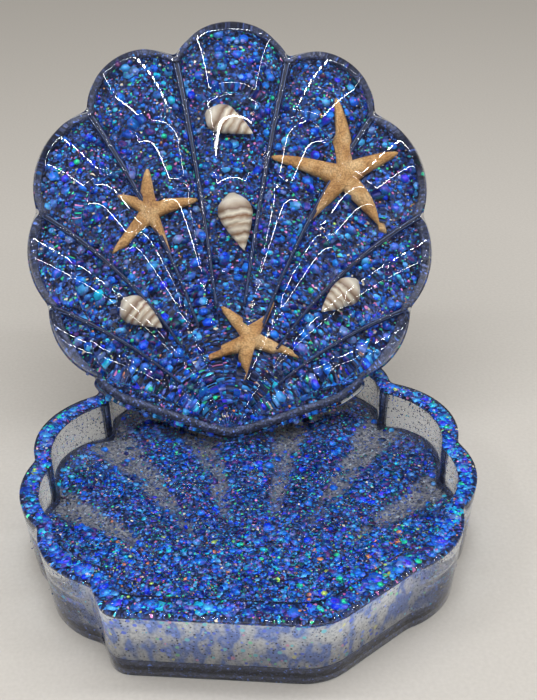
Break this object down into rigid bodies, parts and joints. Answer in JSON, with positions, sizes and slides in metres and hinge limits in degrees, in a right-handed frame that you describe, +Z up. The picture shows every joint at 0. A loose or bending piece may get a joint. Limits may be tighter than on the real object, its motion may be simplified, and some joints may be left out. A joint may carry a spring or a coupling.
{
  "type": "shell jewelry box",
  "caption": "Scallop-shell trinket box of cast resin: an open tray and a ribbed shell lid that stands in it, leaning back, with dried starfish and sea snails set in the lid.",
  "frame": {"origin": "on the tray's flat underside, below its middle", "axes": "+X to the right seen from the front, +Y to the back, the way the lid leans, +Z up"},
  "size_m": [0.1324, 0.1791, 0.1235],
  "materials": {
    "clear_resin": "clear gloss casting resin",
    "blue_resin": "clear resin over dark blue flakes",
    "blue_flakes": "holographic blue flakes in clear resin",
    "starfish": "dry, grainy",
    "snail_shell": "banded, slightly glossy"
  },
  "bodies": {
    "base": {"tray_casting": "clear_resin", "foot_pour": "blue_resin", "rim_flakes": "blue_flakes", "floor_flakes": "blue_flakes"},
    "lid": {"lid_clear": "clear_resin", "lid_flakes": "blue_flakes", "starfish_large": "starfish", "starfish_left": "starfish", "starfish_lower": "starfish", "snail_top": "snail_shell", "snail_center": "snail_shell", "snail_left": "snail_shell", "snail_right": "snail_shell"}
  },
  "joints": [
    {"name": "lid_lift", "type": "slide", "parent": "base", "child": "lid", "axis": [0, 0, 1], "range_m": [0, 0.08]}
  ]
}
